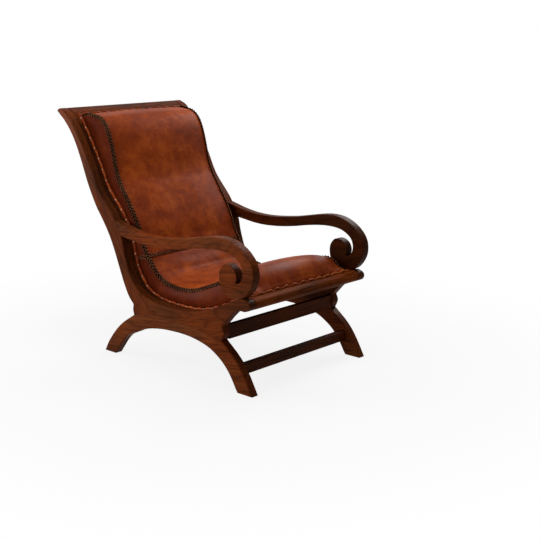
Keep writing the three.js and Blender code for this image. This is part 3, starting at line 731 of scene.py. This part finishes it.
EDGE_LIFT = 0.0012
EDGE_POINTS = 150
HEAD_TAPER = 0.03
HEAD_END_SHARE = 0.45
FRONT_TAPER = 0.05
FRONT_END_SHARE = 0.3
for side, word in SIDES:
    points, normals = [], []
    for row in np.linspace(0, LAST_ROW, EDGE_POINTS):
        at = station(row)
        out = np.array([side, *at["up"]]) * math.sqrt(0.5)
        middle = at["base"] + at["up"] * (at["height"] - at["round"] / 2)
        points.append(np.array([side * (at["corner_x"] + at["round"] / 2), *middle]) + out * EDGE_LIFT)
        normals.append(out)
    length = run_along(points)[-1]
    taper = ([0, HEAD_TAPER, length - FRONT_TAPER, length], [HEAD_END_SHARE, 1, 1, FRONT_END_SHARE])
    # The strip under the side plaits is painted near-black, as the shade in the gaps between the laces
    plait(f"plait_{word}", f"lacing_{word}", points, normals, shaded_hide, taper=taper)

CROSS_END_INSET = 0.004
CROSS_POINTS = 40
PRESSED_IN = 0.95
crease = station(CREASE_ROW)
cross_end = crease["corner_x"] - CROSS_END_INSET
points = []
for x in np.linspace(-cross_end, cross_end, CROSS_POINTS):
    rise = crease["crown"] * (1 - abs(x / crease["corner_x"]) ** CROWN_POWER) * PRESSED_IN
    points.append((x, *(crease["corner"] + crease["outward"] * rise)))
normals = [(0, *crease["outward"])] * CROSS_POINTS
plait("plait_cross", "lacing_cross", points, normals, cognac_hide, CROSS_LACE_HALF_WIDTH)

ABOVE_WELT = 0.0085
BELOW_CORNER = 0.006
GUSSET_LIFT = 0.0004
for side, word in SIDES:
    points = [(side * (x + GUSSET_LIFT), *(crease["base"] + crease["up"] * height))
              for x, height in side_profile(crease) if ABOVE_WELT < height < crease["height"] - BELOW_CORNER]
    normals = [(side, 0, 0)] * len(points)
    plait(f"plait_gusset_{word}", f"lacing_gusset_{word}", points, normals, gusset_shaded_hide,
          CROSS_LACE_HALF_WIDTH)


# Side welts
# Folded strips of lighter leather that cover the cushions' edge along the ledge.
# They are flat where a nail holds them and swollen between two nails.

welt_hide = waxed_hide("hide_welt", (0.105, 0.0145, 0.0032), (0.215, 0.0340, 0.0068),
                       (0.370, 0.0750, 0.0145), patch=0.9, shift=(3, 1, 2), gloss=0.06)

MM = 0.001
SIDE_WELT_RINGS = 420
HEAD_WELT_SHARE = 0.0377
FRONT_WELT_SHARE = 0.9896
END_WELT_WIDTH = 0.010
END_WELT_SHARE = END_WELT_WIDTH / SEAT_LENGTH

# Sections at a nail and between nails, in millimetres out from the cushion and up from the ledge
NAILED_SECTION = np.array([
    (15.0, 0), (15.2, 1.2), (14.0, 1.8), (11.8, 2.0), (9.4, 2.1), (7.0, 2.4), (5.0, 3.0),
    (3.2, 3.4), (1.7, 3.0), (0.9, 1.8), (0.9, 0), (5.0, 0), (10.0, 0),
])
SWOLLEN_SECTION = np.array([
    (13.6, 0), (13.6, 2.2), (13.0, 4.4), (11.8, 6.4), (9.4, 7.3), (7.0, 7.0), (5.0, 5.8),
    (3.2, 4.2), (1.7, 3.0), (0.9, 1.8), (0.9, 0), (5.0, 0), (10.0, 0),
])

for side, word in SIDES:
    rings = []
    for share in np.linspace(HEAD_WELT_SHARE, FRONT_WELT_SHARE + END_WELT_SHARE, SIDE_WELT_RINGS):
        base, _, normal = on_seat_line(share, WELT_LIFT)
        full = swelling((share - HEAD_WELT_SHARE) * SEAT_LENGTH + NAIL_PITCH / 2)
        section = (NAILED_SECTION + (SWOLLEN_SECTION - NAILED_SECTION) * full) * MM
        rings.append([(side * (PAD_SIDE + out), *(base + normal * up)) for out, up in section])
    piece(f"welt_side_{word}", lofted("welt", rings), [welt_hide], "welt_leather", f"side_welt_{word}")


# Head and front welts
# The same folded leather in short strips along the crest rail and the front rail, without nail heads:
# hidden tacks gather it into puffs, and the front one is the lightest leather on the chair.

front_hide = waxed_hide("hide_front_welt", (0.182, 0.0325, 0.0073), (0.315, 0.0680, 0.0147),
                        (0.475, 0.1270, 0.0300), patch=0.9, shift=(2, 1, 5))

END_WELT_RINGS = 300
END_CLEARANCE = 0.0004

# The puffs are fuller than a plain wave, and differ a little in height along the rail
PUFF_POWER = 0.6
UNEVENNESS = 0.14
UNEVEN_RATE = 211

# Sections at a tack and between tacks, in millimetres in from the outer edge and up from the ledge
TACKED_SECTION = np.array([
    (0.6, 0), (0.3, 2.8), (1.4, 4.0), (4.0, 3.6), (7.0, 2.6),
    (8.4, 1.4), (9.7, 1.0), (10.0, 0), (6.5, 0), (3.5, 0),
])
PUFFED_SECTION = np.array([
    (0.6, 0), (0.3, 6.6), (1.4, 10.6), (4.0, 12.2), (7.0, 9.2),
    (10.6, 4.0), (11.9, 1.0), (12.2, 0), (6.5, 0), (3.5, 0),
])

for name, source, outer_share, direction, finish in (
        ("welt_head", "head_welt", HEAD_WELT_SHARE, 1, cognac_hide),
        ("welt_front", "front_welt", FRONT_WELT_SHARE + END_WELT_SHARE, -1, front_hide)):
    rings = []
    for x in np.linspace(END_CLEARANCE - PAD_SIDE, PAD_SIDE - END_CLEARANCE, END_WELT_RINGS):
        uneven = 1 - UNEVENNESS + UNEVENNESS * math.sin(UNEVEN_RATE * x + 1)
        full = swelling(x + NAIL_PITCH / 2) ** PUFF_POWER * uneven
        ring = []
        for inward, up in (TACKED_SECTION + (PUFFED_SECTION - TACKED_SECTION) * full) * MM:
            base, _, normal = on_seat_line(outer_share + direction * inward / SEAT_LENGTH, WELT_LIFT)
            ring.append((x, *(base + normal * up)))
        rings.append(ring)
    piece(name, lofted(name, rings), [finish], "welt_leather", source)


# Nails
# Small domed upholstery nails of aged brass, 7.5 mm across. They hold the side welts down on the ledge,
# one in each pinched place, 47 mm apart.

# From the rim to the top of the dome: shares of the nail's radius and height
NAIL_PROFILE_SHARES = [
    (1.0, 0.0), (1.02, 0.12), (0.93, 0.30), (0.78, 0.58), (0.55, 0.82), (0.28, 0.96), (0, 1),
]
NAIL_RADIUS = 0.0037
NAIL_HEIGHT = 0.0026
NAIL_SIDES = 14
NAIL_MERGE_DISTANCE = 1e-6
NAIL_OUT = 0.0106
NAIL_LIFT = 0.0021


def aged_brass():
    """Brass tarnished brown in patches, brighter between them."""
    brass = Recipe(bpy.data.materials.new("brass_aged"))
    tarnish = brass.noise(brass.coordinates(), scale=260, detail=4, roughness=0.6)
    return brass.surface({
        "Base Color": brass.ramp(tarnish, [(0.35, (0.20, 0.11, 0.06)), (0.65, (0.42, 0.27, 0.17))]),
        "Roughness": brass.ramp(tarnish, [(0.35, 0.55), (0.65, 0.34)]), "Metallic": 1.0,
        "Normal": brass.bump(tarnish, distance=0.0003, strength=0.3),
    })


bm = bmesh.new()
profile = [bm.verts.new((NAIL_RADIUS * out, 0, NAIL_HEIGHT * up)) for out, up in NAIL_PROFILE_SHARES]
rim = [bm.edges.new(pair) for pair in zip(profile, profile[1:])]
bmesh.ops.spin(bm, geom=profile + rim, cent=(0, 0, 0), axis=(0, 0, 1), angle=2 * math.pi,
               steps=NAIL_SIDES, use_merge=True)
bmesh.ops.remove_doubles(bm, verts=bm.verts, dist=NAIL_MERGE_DISTANCE)
bmesh.ops.holes_fill(bm, edges=bm.edges, sides=0)
bmesh.ops.recalc_face_normals(bm, faces=bm.faces)
nail = mesh_of("nail", bm)
nail_finish = aged_brass()

first_nail_share = HEAD_WELT_SHARE + NAIL_PITCH / 2 / SEAT_LENGTH
nail_count = int((FRONT_WELT_SHARE - first_nail_share) * SEAT_LENGTH / NAIL_PITCH) + 1
for side, word in SIDES:
    bm = bmesh.new()
    for number in range(nail_count):
        base, along, normal = on_seat_line(first_nail_share + number * NAIL_PITCH / SEAT_LENGTH, NAIL_LIFT)
        bm.from_mesh(nail)
        along, normal = Vector((0, *along)), Vector((0, *normal))
        place = Matrix((along, normal.cross(along), normal)).transposed().to_4x4()
        place.translation = (side * (PAD_SIDE + NAIL_OUT), *base)
        bmesh.ops.transform(bm, matrix=place, verts=bm.verts[-len(nail.vertices):])
    piece(f"nails_{word}", mesh_of("nails", bm), [nail_finish], "nail_brass")
bpy.data.meshes.remove(nail)


# Studio
# A pale floor that fades to white, a white surround, four soft lamps at a plain level, and the camera
# at the photograph's place.

FLOOR_HALF_SIZE = 45.0
FLOOR_TONES = [(0.3, 0.60), (0.7, 0.62)]
SURROUND_LIGHT = 0.02

# The floor's share of white, by the distance from the chair as a share of the fade's reach
FADE_REACH = 2.5
FADE = [(0.2, 0.86), (0.75, 1.0)]


def background_rays(recipe):
    """1 for the rays that see a background: the camera's own, and those in gloss and glass."""
    camera, gloss, glass = (recipe.node("LightPath", {}, {}, f"Is {kind} Ray")
                            for kind in ("Camera", "Glossy", "Transmission"))
    shine = recipe.node("Math", {"operation": "MAXIMUM"}, {0: gloss, 1: glass})
    return recipe.node("Math", {"operation": "MAXIMUM"}, {0: camera, 1: shine})


ground = Recipe(bpy.data.materials.new("studio_floor"))
pale = ground.surface({
    "Base Color": ground.ramp(ground.noise(ground.coordinates(), scale=30, detail=3), FLOOR_TONES),
    "Roughness": 0.9, "Specular IOR Level": 0.0,
})
distance = ground.node("VectorMath", {"operation": "LENGTH"}, {0: ground.coordinates()}, "Value")
white = ground.ramp(distance * (1 / FADE_REACH), FADE, "EASE")
glow = ground.node("Emission", {}, {"Color": (1, 1, 1), "Strength": 1.0})
matt = Wire(ground, ground.tree.nodes["Principled BSDF"].outputs[0])
both = ground.node("MixShader", {}, {0: background_rays(ground) * white, 1: matt, 2: glow})
ground.plug(ground.tree.nodes["Material Output"].inputs["Surface"], both)

bm = bmesh.new()
bmesh.ops.create_grid(bm, x_segments=8, y_segments=8, size=FLOOR_HALF_SIZE)
floor = bpy.data.objects.new("floor", mesh_of("floor", bm))
floor.data.materials.append(pale)
scene.collection.objects.link(floor)

scene.world = bpy.data.worlds.new("studio")
surround = Recipe(scene.world)
background = surround.tree.nodes["Background"]
surround.plug(background.inputs["Color"], (1, 1, 1))
surround.plug(background.inputs["Strength"],
              background_rays(surround) * (1 - SURROUND_LIGHT) + SURROUND_LIGHT)

LAMP_SIZE = 1.5
LAMP_AIM = Vector((0, 0, 0.45))
for name, place, watts in (
        ("softbox_top", (0, -0.5, 3.4), 50), ("softbox_left", (-3.1, -0.1, 1.15), 46),
        ("softbox_rear", (-1.8, 2.5, 1.25), 60), ("softbox_right", (2.6, 0.4, 2.2), 66)):
    lamp = bpy.data.lights.new(name, "AREA")
    lamp.shape = "DISK"
    lamp.size = LAMP_SIZE
    lamp.energy = watts
    softbox = bpy.data.objects.new(name, lamp)
    scene.collection.objects.link(softbox)
    softbox.location = place
    softbox.rotation_euler = (LAMP_AIM - Vector(place)).to_track_quat("-Z", "Y").to_euler()

SENSOR_WIDTH = 36
FOCAL_LENGTH = 69.15
CAMERA_PLACE = (-2.858, -2.976, 1.3008)
CAMERA_TILT = math.radians(76.70)
CAMERA_TURN = math.radians(-47.17)
lens = bpy.data.cameras.new("camera")
lens.sensor_width = SENSOR_WIDTH
lens.lens = FOCAL_LENGTH
camera = bpy.data.objects.new("camera", lens)
scene.collection.objects.link(camera)
camera.location = CAMERA_PLACE
camera.rotation_euler = (CAMERA_TILT, 0, CAMERA_TURN)
scene.camera = camera
scene.view_settings.view_transform = "Standard"
